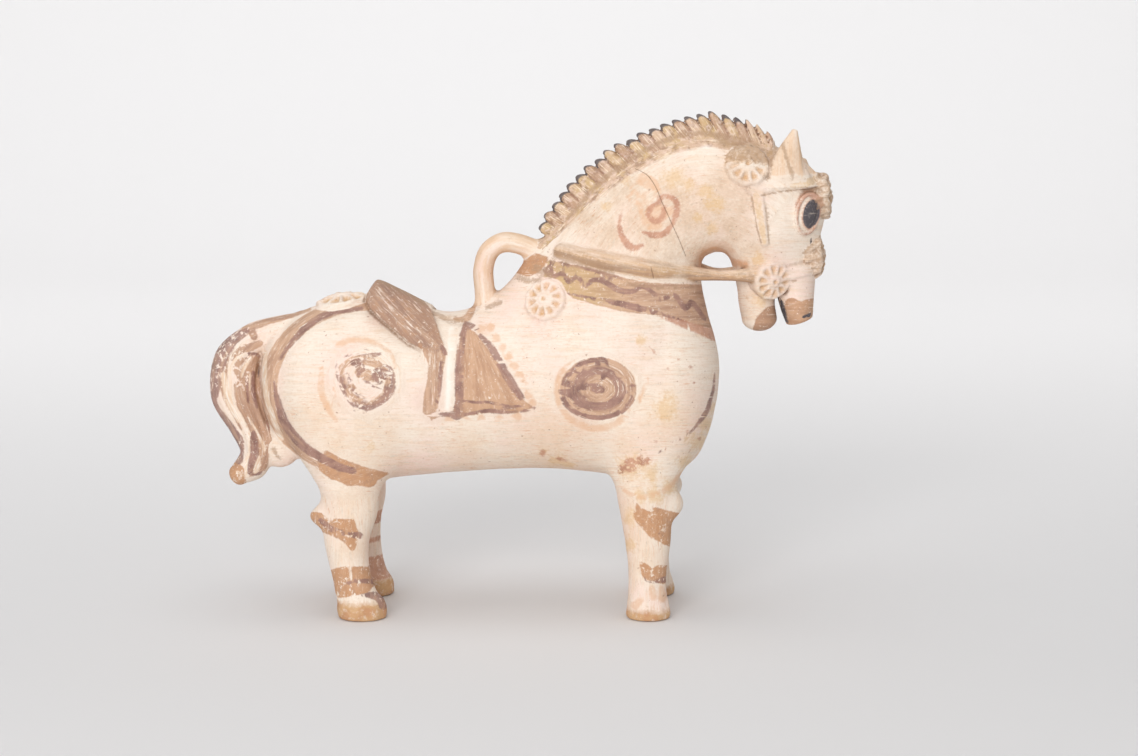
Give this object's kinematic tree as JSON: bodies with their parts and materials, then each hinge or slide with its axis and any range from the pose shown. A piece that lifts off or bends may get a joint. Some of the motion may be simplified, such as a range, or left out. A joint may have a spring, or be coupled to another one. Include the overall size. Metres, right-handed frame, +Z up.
{
  "type": "pottery horse figure",
  "caption": "Standing pottery horse with toothed mane, saddle flap, bridle rosettes, reins and a loop handle behind the neck, cream slip with worn purple-brown and ochre painting.",
  "frame": {"origin": "on the floor under the middle of the figure's length and width, at the height of the hoof soles", "axes": "+X the way the horse faces, +Y to its left, +Z up"},
  "size_m": [0.3603, 0.0926, 0.2906],
  "materials": {
    "painted_clay": "matt cream slip on tan clay with worn purple-brown and ochre paint"
  },
  "bodies": {
    "root": {"horse_figure": "painted_clay"}
  },
  "joints": []
}
